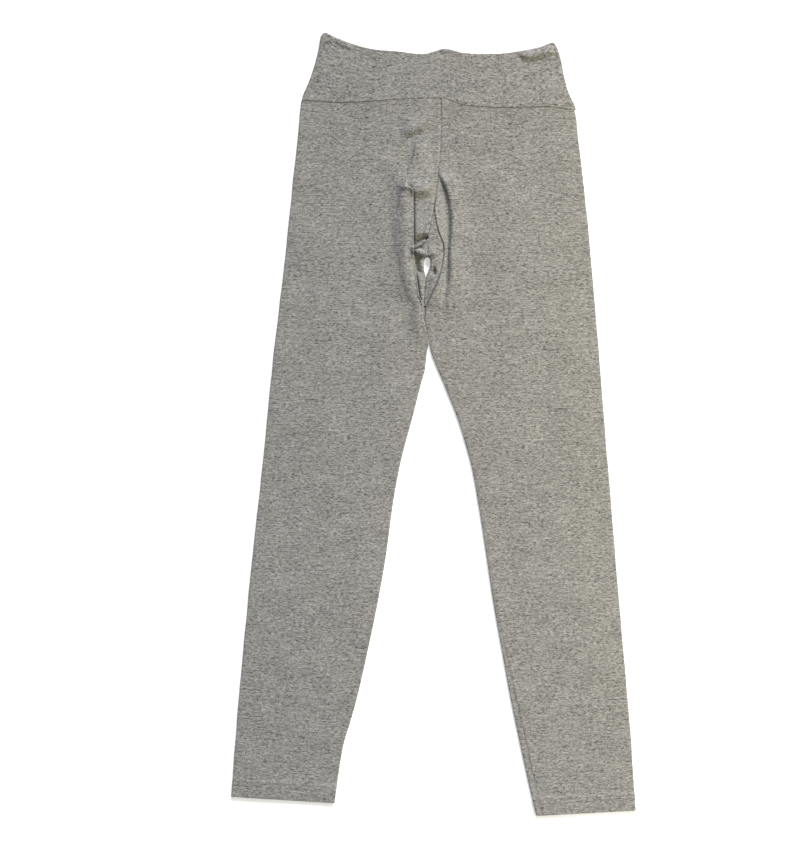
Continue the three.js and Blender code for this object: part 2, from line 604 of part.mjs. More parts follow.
// Straight stretches between points on one leg edge, as height on the page for x
function edgeLine(points) {
  const sorted = [...points].sort((a, b) => a.x - b.x);
  return (x) => {
    const found = sorted.findIndex((p) => p.x > x);
    const i = Math.min(sorted.length - 1, Math.max(1, found < 0 ? sorted.length - 1 : found));
    const [before, after] = [sorted[i - 1], sorted[i]];
    return mix(before.y, after.y, (x - before.x) / (after.x - before.x));
  };
}

const group = new THREE.Group();
const add = (name, geometry) => {
  const mesh = new THREE.Mesh(geometry, new THREE.MeshStandardMaterial(GREY));
  mesh.name = name;
  group.add(mesh);
};

const left = legGrid("left");
const right = legGrid("right");
add("left_leg", clothWall(left.grid, left.thickness));
add("right_leg", clothWall(right.grid, right.thickness, { flip: true }));
const gusset = gussetGrid();
add("gusset", clothWall(gusset, gusset.map(() => JERSEY), { upright: false }));

// The waistband's columns stand on the points of the legs' top edges, so the seam stays parallel
const top = { left: left.grid[0], right: right.grid[0] };
const leftNear = STEPS.low + 2 * STEPS.turn + 1 + TOP_SPREAD.length;
const edgePoints = {
  back: [...top.left.slice(0, leftNear), ...top.right.slice(0, NEAR_SPREAD.length)],
  front: [...top.left.slice(leftNear + STEPS.fold), ...top.right.slice(NEAR_SPREAD.length + STEPS.fold)],
};
for (const layer of ["back", "front"]) {
  const [first, last] = [BAND_FOOT[0] + BAND_CORNER, BAND_FOOT[1] - BAND_CORNER];
  const fromEdge = edgePoints[layer].map((p) => p.x).filter((x) => x > first && x < last);
  const nearEnds = BAND_END_COLUMNS.flatMap((d) => [BAND_FOOT[0] + d, BAND_FOOT[1] - d]);
  const wanted = [...fromEdge, ...nearEnds, ...(layer === "front" ? BAND_MIDDLE_COLUMNS : [])];
  const columns = [];
  for (const x of wanted) {
    if (columns.every((other) => Math.abs(other - x) > BAND_COLUMN_STEP)) columns.push(x);
  }
  columns.sort((a, b) => a - b);
  const band = bandGrid(layer, edgeLine(edgePoints[layer]), columns);
  add("waistband_" + layer, clothWall(band.grid, band.thickness, { flip: layer === "back" }));
}

export default group;
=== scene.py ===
import math

import bpy
import numpy as np
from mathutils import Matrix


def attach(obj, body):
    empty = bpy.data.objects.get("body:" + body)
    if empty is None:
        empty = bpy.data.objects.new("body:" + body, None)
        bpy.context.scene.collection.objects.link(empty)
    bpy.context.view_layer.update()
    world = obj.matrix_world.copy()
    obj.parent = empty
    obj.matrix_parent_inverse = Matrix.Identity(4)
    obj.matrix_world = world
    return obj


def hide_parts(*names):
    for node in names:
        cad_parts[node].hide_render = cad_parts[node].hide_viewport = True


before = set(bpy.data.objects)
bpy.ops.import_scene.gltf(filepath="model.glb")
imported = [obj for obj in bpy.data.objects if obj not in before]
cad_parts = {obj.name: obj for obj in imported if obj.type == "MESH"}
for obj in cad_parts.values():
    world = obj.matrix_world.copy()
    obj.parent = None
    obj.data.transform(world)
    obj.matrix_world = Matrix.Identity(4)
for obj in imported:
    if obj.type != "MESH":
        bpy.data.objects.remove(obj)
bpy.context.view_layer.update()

MM = 0.001

# Cloth
JERSEY = 1.2  # one layer of the leg panels
HEM_CLOTH = 1.8  # the same cloth turned up and stitched at the hem
HEM_STEP = 3  # length over which the hem thickens
BAND_CLOTH = 1.8  # the waistband is cut double and folded over at its rim
AIR = 0.6  # between two layers that lie on each other
TOUCH = 0.1  # and the least, where the upper one dips
BAND_AIR = 1.4  # inside the waistband
SEAM = 0.32  # slit between two edges that a seam joins
SEAM_DIP = 1.4  # each edge rolls down this much into its seam
SEAM_ROLL = 1.1  # over about this width
SEAM_RISE = 0.7  # beside it the seam allowance inside holds the cloth up
SEAM_ALLOWANCE = 5
WAIST_SHARE = 0.1  # the waist seam is shallower
WAIST_SLIT = 0.14  # and closer
DEEPER = 1.7  # beside the crotch the seams are this much deeper
DEEPER_FROM, DEEPER_OVER = 306, 30
# The share of the dip at the inseam, where it lies at the fold and where it shows
TUBE_DIP, INSEAM_DIP = 0.1, 0.35
INSEAM_SHOWS, INSEAM_SHOWS_OVER = -150, 120
NEEDLE_ROWS = (14.5, 20.0)  # the two rows of the hem's stitching, above its edge
NEEDLE_DIP = 0.3  # the stitching draws the cloth in this much

# Garment sizes, as in the solids
HEM_DEPTH = 22
TUCK_LIFT = 3.6
TUCK_SLOPE = 13
GUSSET_TIP = 154
GUSSET_HEIGHT = 275.6  # where its last row is
TUBE_START = 136
TUBE_SETTLED = 94
TUBE_ROUNDED = 122
WAIST_MIDDLE = 415
WAIST_FADES = 350
HEM_SLOPE = {"left": -0.063, "right": 0.053}
HEM_HEIGHT = {"left": -487.7, "right": -504.8}
HEM_MIDDLE = {"left": -196, "right": 199}
OUTER_INSET = 1.5  # middle of the outer fold's bend, in from the cloth's own half
FOLD_OPENS = 302
FOLD_OPENING = 16
BEND_LENGTH = 1.4
LEAST_FOLD = 0.4  # the straight stretch between two bends is at least this long
TUBE_FOLD = 0.8
SLIGHT = 1e-4  # the least angle of a bend
FRONT_INSET = 6  # the right leg's under layer is drawn closer together this far in from the front seam
BAND_RISE_FROM, BAND_RISE_OVER = 385, 40
BAND_RISE = 0.8  # the seat rises by this share of the way up to the waistband
BAND_UPRIGHT = 0.35
BAND_LEVEL = BAND_CLOTH * 1.5 + BAND_AIR
BAND_FOOT = (-171, 184.8)
FRONT_RIM_DROP = 4

# The left leg: its outer fold, its inner fold, and how far in the hidden back of the tuck lies from it
LEFT_LEG = [
    dict(y=424, outer=-169.8),
    dict(y=410, outer=-172.6),
    dict(y=367, outer=-177.5),
    dict(y=320, inner=-26.2, tuck=7.3),
    dict(y=262, inner=-25.9, tuck=7.6),
    dict(y=227, outer=-192.4, inner=-25.6, tuck=8.2),
    dict(y=208, inner=-24.2, tuck=8.4),
    dict(y=196, inner=-22.9, tuck=8.3),
    dict(y=182, inner=-20.9, tuck=7.5),
    dict(y=168, inner=-18.8, tuck=5.6),
    dict(y=154, inner=-13.9, tuck=3.8),
    dict(y=140, inner=-13.1, tuck=4.6),
    dict(y=124, inner=-9.5, tuck=5.0),
    dict(y=106, inner=-6.0, tuck=5.7),
    dict(y=94, inner=-8.4, tuck=5.8),
    dict(y=86, outer=-208.7),
    dict(y=70, inner=-11.2),
    dict(y=55, inner=-15.6),
    dict(y=39, inner=-19.8),
    dict(y=8, inner=-27.7),
    dict(y=-23, inner=-36.4),
    dict(y=-54, outer=-223.0, inner=-44.1),
    dict(y=-101, inner=-52.7),
    dict(y=-163, inner=-61.1),
    dict(y=-226, outer=-241.2, inner=-72.2),
    dict(y=-288, inner=-85.2),
    dict(y=-351, outer=-252.9, inner=-99.5),
    dict(y=-382, inner=-108.2),
    dict(y=-413, inner=-117.3),
    dict(y=-444, inner=-122.5),
    dict(y=-492, outer=-263.6, inner=-129.1, tuck=5.8),
]

# The right leg: its outer fold, its inner fold, and how far the inseam shows in from that fold
RIGHT_LEG = [
    dict(y=424, outer=176.6),
    dict(y=408, outer=185.0),
    dict(y=367, outer=189.2),
    dict(y=273, outer=199.8),
    dict(y=180, outer=208.4),
    dict(y=154, inner=-13.5, inseam=4.1),
    dict(y=140, inner=-12.9, inseam=2.8),
    dict(y=130, inseam=2.6),
    dict(y=124, inner=-9.3),
    dict(y=106, inner=-5.7),
    dict(y=94, inner=-3.4),
    dict(y=86, outer=216.2, inner=-0.6),
    dict(y=70, inner=5.9),
    dict(y=55, inner=12.4),
    dict(y=39, inner=18.9),
    dict(y=8, inner=31.2),
    dict(y=-7, outer=223.3),
    dict(y=-23, inner=41.0),
    dict(y=-54, inner=49.5),
    dict(y=-101, outer=231.1, inner=58.2),
    dict(y=-163, inner=67.9),
    dict(y=-200, inseam=2.6),
    dict(y=-226, outer=241.5, inner=77.4),
    dict(y=-288, inner=88.5, inseam=4.6),
    dict(y=-351, outer=252.1, inner=100.0),
    dict(y=-400, inseam=8.0),
    dict(y=-413, outer=257.1, inner=112.8),
    dict(y=-475, inner=126.4),
    dict(y=-508, outer=263.2, inner=134.2, inseam=8.4),
]

# The rise seams: one line down to the gusset's point, then its two sides, on the back and on the front
RISE = [
    dict(y=430, back_left=8.4, back_right=8.4, front_left=3, front_right=3),
    dict(y=388, back_left=9.4, back_right=9.4),
    dict(y=354, back_left=8.2, back_right=8.2),
    dict(y=327, back_left=5.9, back_right=5.9),
    dict(y=307, back_left=3.6, back_right=3.6),
    dict(y=290, back_left=1.6, back_right=1.6, front_left=1, front_right=1),
    dict(y=278.6, back_left=0.3, back_right=0.3, front_left=0.5, front_right=0.5),
    dict(y=262, back_left=-2.7, back_right=2.6, front_left=0, front_right=0),
    dict(y=248, back_left=-6.5, back_right=6.2, front_left=-5, front_right=5),
    dict(y=238, back_left=-9.2, back_right=10.2, front_left=-9, front_right=8),
    dict(y=232, back_left=-15.5, back_right=11.9, front_left=-11.5, front_right=9.2),
    dict(y=226, back_left=-26.0, back_right=12.8, front_left=-14, front_right=9.8),
    dict(y=218, back_left=-31.0, back_right=12.3, front_left=-16.5, front_right=9.9),
    dict(y=208, back_left=-31.2, back_right=10.8, front_left=-18.5, front_right=9.0),
    dict(y=196, back_left=-29.8, back_right=8.2, front_left=-19.5, front_right=6.4),
    dict(y=182, back_left=-27.0, back_right=3.7, front_left=-19.5, front_right=2.6),
    dict(y=168, back_left=-23.0, back_right=-3.0, front_left=-18.6, front_right=-3.4),
    dict(y=154, back_left=-16.9, back_right=-9.4, front_left=-17.8, front_right=-9.4),
]

# The left leg's cloth swells up beside its inner fold
FOLD_ROLL = [
    dict(y=336, height=0),
    dict(y=320, height=1.2),
    dict(y=306, height=3.0),
    dict(y=286, height=4.2),
    dict(y=262, height=3.8),
    dict(y=215, height=3.6),
    dict(y=180, height=3.0),
    dict(y=150, height=2.0),
    dict(y=120, height=0.9),
    dict(y=92, height=0),
]
BESIDE_FOLD = 4.5  # the cloth under the fold is drawn more finely from here on
ROLL_IN = 19  # from the fold's edge to the top of the swell
ROLL_WIDTH = (10, 22)

# Between the left leg's inner fold and the right valley the cloth stands up as a pad, and dips at both
PAD = [
    dict(y=306, right=8, height=0),
    dict(y=298, right=11, height=1.6),
    dict(y=286, right=15, height=2.7),
    dict(y=272, right=17, height=3.4),
    dict(y=256, right=18, height=4.4),
    dict(y=225, right=16.5, height=4.4),
    dict(y=190, right=16, height=4.0),
    dict(y=165, right=14, height=2.6),
    dict(y=150, right=12, height=0),
]
PAD_SLOPES = (3.4, 9)
ARM_SINKS = 1.4  # the gusset's arms lie this much below the legs' edges
ARM_SINKS_FROM, ARM_SINKS_OVER = 238, 16

# The gusset is folded along this line, which runs up one thigh, over the crotch and down the other
GUSSET_FOLD = [
    dict(y=154, right=-12.9, left=-13.0, height=154.4, loft=0.6),
    dict(y=168, right=-11.8, left=-11.9, height=167.6, loft=1.4),
    dict(y=182, right=-10.9, left=-11.0, height=181.0, loft=1.9),
    dict(y=196, right=-9.6, left=-10.4, height=192.5, loft=2.0),
    dict(y=202, right=-7.4, left=-11.8, height=197.2, loft=2.4),
    dict(y=208, right=-5.2, left=-12.6, height=201.6, loft=3.4),
    dict(y=218, right=-4.2, left=-12.8, height=207.4, loft=4.0),
    dict(y=226, right=-4.2, left=-12.5, height=211.6, loft=4.0),
    dict(y=232, right=-4.8, left=-11.7, height=214.0, loft=4.8),
    dict(y=238, right=-5.6, left=-10.8, height=215.2, loft=5.8),
    dict(y=248, right=-6.4, left=-9.9, height=215.9, loft=5.6),
    dict(y=262, right=-7.2, left=-9.0, height=216.2, loft=5.6),
    dict(y=275.6, right=-8.1, left=-8.1, height=216.4, loft=5.6),
]

# Where each row of it ends on the front, by where it starts on the back
GUSSET_FRONT = [(154, 154), (248, 248), (262, 255), (275.6, 260)]

# The waist seam on the page, the rim of the waistband from corner to corner, and its two sides
WAIST_SEAM = [
    dict(x=-190, y=419.6),
    dict(x=-171, y=420.3),
    dict(x=-115, y=418.0),
    dict(x=-43, y=422.2),
    dict(x=8, y=423.2),
    dict(x=45, y=413.6),
    dict(x=100, y=411.4),
    dict(x=145, y=412.4),
    dict(x=185, y=407.6),
    dict(x=200, y=406.0),
]
RIM = [
    dict(x=-147.0, y=500.0),
    dict(x=-145.6, y=504.6),
    dict(x=-142.6, y=507.6),
    dict(x=-139.6, y=507.9),
    dict(x=-133.3, y=504.8),
    dict(x=-120.3, y=498.9),
    dict(x=-99.5, y=491.8),
    dict(x=-77.4, y=486.6),
    dict(x=-43.6, y=483.6),
    dict(x=-24.0, y=480.9),
    dict(x=-11.0, y=480.6),
    dict(x=-1.0, y=483.1),
    dict(x=14.2, y=487.1),
    dict(x=29.3, y=484.1),
    dict(x=39.7, y=481.6),
    dict(x=60.5, y=480.6),
    dict(x=86.5, y=481.0),
    dict(x=113.8, y=484.5),
    dict(x=139.8, y=489.9),
    dict(x=151.0, y=494.4),
    dict(x=154.6, y=495.6),
    dict(x=157.4, y=493.4),
]
BAND_SIDE = [
    dict(y=407, right=185.2),
    dict(y=414, right=181.3),
    dict(y=420, left=-171.3, right=178.2),
    dict(y=429, left=-167.1, right=174.9),
    dict(y=440, left=-162.7, right=172.2),
    dict(y=456, left=-157.3, right=168.5),
    dict(y=471, left=-152.8, right=165.7),
    dict(y=487, left=-148.9, right=160.9),
    dict(y=494, left=-147.8, right=156.9),
    dict(y=501, left=-146.6, right=153.0),
]

# Soft folds and creases of the upper layer. Each runs along its own line, fades at both ends, and has its own
# width before the line and after it. A line that runs down the page gives x for y, and before is to its left.
# One that runs across gives y for x, and before is below it. A crease has a height below zero.
FOLDS = [
    dict(name="puff beside the centre seam", runs="down", height=2.4, before=15, after=8, fade=(12, 15),
         line=[(382, -16), (360, -14), (340, -12), (315, -12), (296, -12)]),
    dict(name="seat above the recess", runs="across", height=3.0, before=13, after=20, fade=(32, 26),
         line=[(-64, 328), (-44, 317), (-30, 309), (-18, 308), (6, 307)]),
    dict(name="brow over the recess", runs="across", height=5.0, before=6.5, after=10, fade=(8, 14),
         line=[(-32, 302), (-22, 302), (-10, 303), (3, 306)]),
    dict(name="swell outside the left valley", runs="down", height=1.0, before=16, after=13, fade=(60, 70),
         line=[(330, -66), (246, -70), (219, -66), (182, -59), (151, -55), (60, -62)]),
    dict(name="ridge outside the right valley", runs="down", height=4.8, before=4.2, after=17, fade=(22, 90),
         line=[(333, 6), (311, 15.8), (296, 20.8), (278, 24.1), (264, 25.6), (246, 25.3), (228, 23.8),
               (192, 23), (150, 20), (120, 24)]),
    dict(name="swell over the right thigh", runs="down", height=0.8, before=24, after=26, fade=(90, 120),
         line=[(330, 104), (200, 96), (40, 112)]),
    dict(name="roll of the rim at the right corner", runs="across", height=4.2, before=3.4, after=7,
         fade=(16, 9), line=[(104, 474), (128, 477), (145, 481), (160, 485)]),
    dict(name="roll of the rim at the left corner", runs="across", height=1.8, before=3, after=6,
         fade=(8, 18), line=[(-146, 497), (-132, 497.5), (-112, 490), (-96, 485)]),
    dict(name="seat above the dimple", runs="across", height=4.4, before=4.4, after=19, fade=(16, 22),
         line=[(-46, 374), (-28, 378.5), (-18, 381.5), (-9, 384.5), (4, 394)]),
    dict(name="dimple below the waist", runs="across", height=-1.8, before=4, after=3, fade=(9, 12),
         line=[(-40, 368), (-27, 372), (-15, 376), (-5, 381), (3, 386)]),
    dict(name="thin ridge over the left valley", runs="down", height=1.9, before=1.4, after=7, fade=(12, 26),
         line=[(370, -21), (347, -25.4), (329, -32), (313, -36), (300, -41.5), (272, -47)]),
    dict(name="left valley", runs="down", height=-0.6, before=5, after=3.5, fade=(24, 90),
         line=[(300, -44), (278, -49.7), (260, -53), (238, -52), (211, -47.5), (193, -43), (171, -39.7),
               (149, -36), (110, -33), (70, -32)]),
    dict(name="right valley", runs="down", height=-1.9, before=2.6, after=1.8, fade=(18, 30),
         line=[(330, 3.6), (310, 12.2), (289, 18.0), (264, 20.4), (242, 20.2), (227, 18.4), (206, 19),
               (190, 18.2), (168, 17.4)]),
    dict(name="rim above the pocket", runs="across", height=2.0, before=1.8, after=7, fade=(7, 5),
         line=[(-30, 238), (-24, 242), (-19, 246.5), (-13, 247.5), (-3, 243)]),
    dict(name="pocket above the gusset", runs="across", height=-9, before=2.2, after=2.6, fade=(15, 6),
         line=[(-30, 231), (-24, 235), (-18, 239.5), (-13, 241.5), (-5.5, 241)]),
    dict(name="crease out of the pocket", runs="across", height=-3, before=1.0, after=1.4, fade=(4, 6),
         line=[(-27, 231), (-20, 234), (-12, 238)]),
    dict(name="lip below the pocket", runs="across", height=2.2, before=2.6, after=1.6, fade=(4, 5),
         line=[(-30, 229), (-24, 230.5), (-17, 233), (-11, 236), (-4, 242)]),
    dict(name="wrinkle over the lip", runs="across", height=-0.9, before=0.9, after=1.1, fade=(4, 6),
         line=[(-25, 227.5), (-18, 227), (-11, 225.5), (-4, 224)]),
    dict(name="lip of the crotch", runs="across", height=6.4, before=1.5, after=4.6, fade=(4, 6),
         line=[(-30, 224.5), (-24, 223.5), (-16, 220.5), (-9, 219), (-3, 219), (5, 222)]),
    dict(name="hollow under the lip", runs="across", height=-16.0, before=10, after=6.4, fade=(3, 3),
         line=[(-29, 208), (-20, 209), (-8, 206)]),
    dict(name="hollow beside the gap", runs="down", height=-9.0, before=4.5, after=1.8, fade=(3, 4),
         line=[(218, -4), (208, -2.6), (199, 0.6), (192, 0.8)]),
    dict(name="crease at the right crotch", runs="across", height=-0.8, before=2.0, after=3.0, fade=(5, 9),
         line=[(17, 116), (26, 111), (36, 108.3), (45, 111), (55, 118)]),
    dict(name="crease across the right thigh", runs="across", height=-0.45, before=2.2, after=3.2,
         fade=(9, 9), line=[(48, 145), (64, 147), (80, 146)]),
    dict(name="small tuck by the centre seam", runs="across", height=0.7, before=1.6, after=1.8, fade=(3, 4),
         line=[(10, 365), (16, 366), (23, 366)]),
    dict(name="diagonal crease on the band", runs="across", height=-0.8, before=1.6, after=2.2, fade=(5, 7),
         line=[(82, 441), (95, 439), (107, 436)]),
    dict(name="crease under the right corner", runs="across", height=-5.2, before=1.8, after=3.8,
         fade=(16, 6),
         line=[(100, 480), (106, 477), (114, 472.4), (123, 468), (135, 464.6), (149, 468), (159, 475)]),
    dict(name="crease under the left corner", runs="across", height=-1.0, before=1.8, after=1.5, fade=(4, 6),
         line=[(-141, 504), (-131, 497.5), (-121, 491)]),
    dict(name="pucker along the waist seam", runs="across", height=-0.7, before=2.4, after=1.6, fade=(16, 16),
         line=[(74, 411.4), (100, 411.6), (122, 411.9), (140, 412.4)]),
]

# Low waves in the cloth where it has settled: how far apart, how high, which way they run, where they start
WAVES = [
    dict(length=74, height=0.26, heading=68, start=0.4),
    dict(length=51, height=0.17, heading=104, start=2.1),
    dict(length=118, height=0.34, heading=23, start=4.0),
    dict(length=39, height=0.10, heading=82, start=5.2),
]
DEEPEST = -0.5  # the upper layer stays above the one that it lies on


def mix(a, b, share):
    return a + (b - a) * share


def ease(share):
    s = np.clip(share, 0, 1)
    return s * s * (3 - 2 * s)


def through(knots):
    """A smooth curve through (at, value) knots that doesn't overshoot between them."""
    at, value = np.array(sorted(knots), float).T
    slope = np.diff(value) / np.diff(at)
    before, after = slope[:-1], slope[1:]
    same_way = before * after > 0
    total = np.where(same_way, before + after, 1)
    tangent = np.concatenate([slope[:1], np.where(same_way, 2 * before * after / total, 0), slope[-1:]])

    def curve(x):
        x = np.asarray(x, float)
        i = np.clip(np.searchsorted(at, x, side="right") - 1, 0, len(at) - 2)
        h = at[i + 1] - at[i]
        t = np.clip((x - at[i]) / h, 0, 1)
        inside = (
            (2 * t**3 - 3 * t**2 + 1) * value[i]
            + (t**3 - 2 * t**2 + t) * h * tangent[i]
            + (3 * t**2 - 2 * t**3) * value[i + 1]
            + (t**3 - t**2) * h * tangent[i + 1]
        )
        return inside + tangent[0] * np.minimum(x - at[0], 0) + tangent[-1] * np.maximum(x - at[-1], 0)

    return curve


def column(rows, name, key="y"):
    return through([(row[key], row[name]) for row in rows if name in row])


left_outer = column(LEFT_LEG, "outer")
left_inner = column(LEFT_LEG, "inner")
left_tuck = column(LEFT_LEG, "tuck")
pad_right = column(PAD, "right")
right_outer = column(RIGHT_LEG, "outer")
right_inner = column(RIGHT_LEG, "inner")
right_inseam = column(RIGHT_LEG, "inseam")
rise = {name: column(RISE, name) for name in ("back_left", "back_right", "front_left", "front_right")}
waist_seam = column(WAIST_SEAM, "y", "x")
rim_height = column(RIM, "y", "x")
band_side = {side: column(BAND_SIDE, side) for side in ("left", "right")}
fold_curves = [(fold, through(fold["line"])) for fold in FOLDS]


def height_within(rows):
    """The height that a table gives at y, and none beyond the table's ends."""
    curve = column(rows, "height")
    return lambda y: np.where((y > rows[-1]["y"]) & (y < rows[0]["y"]), curve(y), 0)


pad_height = height_within(PAD)
roll_height = height_within(FOLD_ROLL)


def pad(x, y):
    height = pad_height(y)
    left_slope, right_slope = PAD_SLOPES
    return height * ease((x - left_inner(y)) / left_slope) * ease((pad_right(y) - x) / right_slope)


def relief(x, y):
    """How far the upper layer stands above where it would lie if it were pressed flat."""
    x, y = np.broadcast_arrays(np.asarray(x, float), np.asarray(y, float))
    height = np.zeros_like(x)
    for fold, curve in fold_curves:
        down = fold["runs"] == "down"
        at, off = (y, x) if down else (x, y)
        ends = fold["line"][0][0], fold["line"][-1][0]
        fade_low, fade_high = fold["fade"][::-1] if down else fold["fade"]
        shown = ease((at - min(ends)) / fade_low) * ease((max(ends) - at) / fade_high)
        distance = off - curve(at)
        width = np.where(distance < 0, fold["before"], fold["after"])
        height += fold["height"] * shown * np.exp(-((distance / width) ** 2))
    height += pad(x, y)
    for wave in WAVES:
        heading = math.radians(wave["heading"])
        along = x * math.cos(heading) + y * math.sin(heading)
        height += wave["height"] * np.sin(math.tau * along / wave["length"] + wave["start"])
    return np.where(height < 0, DEEPEST * np.tanh(height / DEEPEST), height)


def upper(x, y, cloth):
    """Height of the middle of the upper layer, which rises to meet the thicker waistband."""
    to_band = BAND_LEVEL - JERSEY * 1.5 - AIR
    towards_band = ease((y - BAND_RISE_FROM) / BAND_RISE_OVER) * BAND_RISE * to_band
    return cloth * 1.5 + AIR + towards_band + relief(x, y)


def least_height(cloth):
    """Height of the middle of the upper layer where it is pressed onto the lower one."""
    return cloth * 1.5 + TOUCH


def deeper_seam(y):
    return 1 + DEEPER * ease((DEEPER_FROM - y) / DEEPER_OVER)


def seam_dip(distance):
    """How far the cloth stands below its own level beside a seam."""
    return (
        SEAM_DIP * np.exp(-((distance / SEAM_ROLL) ** 2))
        - SEAM_RISE * np.exp(-((distance / SEAM_ALLOWANCE) ** 2))
    )


def fold_roll(x, y):
    distance = x - (left_inner(y) - ROLL_IN)
    return roll_height(y) * np.exp(-((distance / np.where(distance < 0, *ROLL_WIDTH)) ** 2))


def run(start, end, count):
    return np.linspace(start, end, count)


def spread(count, even, power=2):
    """Shares from 0 to 1, closer together at the start, where they are this share of an even step apart."""
    share = np.linspace(0, 1, count)
    return even * share + (1 - even) * share**power


def from_seam(start, end, count):
    """Points on a straight run that starts at a seam, closer together where the edge rolls down."""
    return mix(start, end, spread(count, 0.35))


def hook(x, z, tightest, turn, length, straight_count, round_count):
    """A bend of cloth on the way to heading +x at (x, z), out of a straight stretch below it."""
    angle = max(turn, SLIGHT)
    radius = max(tightest, BEND_LENGTH / angle)
    turned = angle * (1 - np.arange(1, round_count + 1) / (round_count + 1))
    bend = np.stack([x - radius * np.sin(turned), z - radius * (1 - np.cos(turned))], axis=1)
    start = np.array([x - radius * math.sin(angle), z - radius * (1 - math.cos(angle))])
    back = run(length, 0, straight_count)[:, None]
    return np.concatenate([start - back * np.array([math.cos(angle), math.sin(angle)]), bend])


def half_turn(x, z, radius, side, count):
    """A half turn round (x, z), from below it to above it; side is 1 for a turn that bulges to +x."""
    angle = -math.pi / 2 + math.pi * np.arange(1, count + 1) / (count + 1)
    return np.stack([x + side * radius * np.cos(angle), z + radius * np.sin(angle)], axis=1)


def level_run(x, z):
    return np.stack([x, np.full_like(x, z)], axis=1)


# How many points each stretch of a section is drawn in
LOW, TURN, TOP, OUTSIDE, FAR, INSEAM = 22, 7, 62, 9, 20, 5
TOP_SPREAD = spread(TOP, 0.42)
NEAR_SPREAD = spread(TOP + 12, 0.3, 1.8)


def left_section(y, cloth):
    """The left leg at y, as (x, z) from its back seam over the top, round the outside and back below."""
    floor, low = cloth / 2, cloth * 1.5 + AIR
    radius = (cloth + AIR) / 2
    outer_x = left_outer(y) + cloth / 2 + OUTER_INSET
    fold_x = left_inner(y) - cloth / 2 - radius
    tuck_x = min(left_inner(y) - left_tuck(y), fold_x - LEAST_FOLD)
    shares = np.arange(1, TURN + 1) / (TURN + 1)
    if y < GUSSET_TIP:  # a plain tube, with the hidden back of the fold opening out and sinking
        angle = math.pi * ease((y - TUBE_ROUNDED) / (GUSSET_TIP - TUBE_ROUNDED))
        middle = floor + TUCK_LIFT * ease((y - TUBE_SETTLED) / (TUBE_START - TUBE_SETTLED))
        path = np.concatenate([
            hook(tuck_x, middle, radius, angle, TUBE_FOLD + (angle / math.pi) ** 4, LOW, TURN),
            [[(tuck_x + fold_x) / 2, middle]],
            half_turn(fold_x, middle + radius, radius, 1, TURN),
        ])
        end = np.array([fold_x, middle + 2 * radius])
    else:  # the panel is folded over itself in an S, which opens out towards the seat
        angle = math.pi * (1 - ease((y - FOLD_OPENS) / FOLD_OPENING)) + SLIGHT
        bend_radius = max(radius, BEND_LENGTH / angle)
        straight = (fold_x - tuck_x) * (angle / math.pi) ** 3
        bend = bend_radius * np.stack([np.sin(angle * shares), 1 - np.cos(angle * shares)], axis=1)
        reach = bend_radius * np.array([math.sin(angle), 1 - math.cos(angle)])
        end = np.array([
            tuck_x - 2 * reach[0] - straight * math.cos(angle),
            low + 2 * reach[1] + straight * math.sin(angle),
        ])
        seam_x = rise["back_left"](y) - SEAM / 2
        beside_fold = min(left_inner(y) + BESIDE_FOLD, mix(seam_x, tuck_x, 0.4))
        panel = np.concatenate([
            from_seam(seam_x, beside_fold, LOW // 2), run(beside_fold, tuck_x, LOW // 2 + 1)[1:]
        ])
        path = np.concatenate([
            level_run(panel, low),
            np.array([tuck_x, low]) + bend * [-1, 1],
            [[(tuck_x + end[0]) / 2, (low + end[1]) / 2]],
            end + (bend * [1, -1])[::-1],
        ])
        path[:, 1] -= seam_dip(path[:, 0] - path[0, 0]) * deeper_seam(y)
    clear_x = path[:, 0].min() - cloth
    top_x = mix(end[0], outer_x, TOP_SPREAD)
    top_z = low + (end[1] - low) * (1 - ease((clear_x - top_x) / TUCK_SLOPE))
    near = np.concatenate([path, np.stack([top_x, top_z], axis=1)])
    # the cloth swells above the fold alone, not below it
    raised = np.concatenate([np.zeros(LOW + TURN), np.linspace(0.5, 1, TURN + 1), np.ones(TOP)])
    near[:, 1] += upper(near[:, 0], y, cloth) - low + raised * fold_roll(near[:, 0], y)
    if y >= GUSSET_TIP:
        near[:, 1] = np.maximum(near[:, 1], least_height(cloth))
    outer_radius = (near[-1, 1] - floor) / 2
    front_x = near[0, 0] - SEAM if y < GUSSET_TIP else rise["front_left"](y) - SEAM / 2
    return np.concatenate([
        near,
        half_turn(outer_x, floor + outer_radius, outer_radius, -1, OUTSIDE)[::-1],
        level_run(run(outer_x, front_x, FAR), floor),
    ])


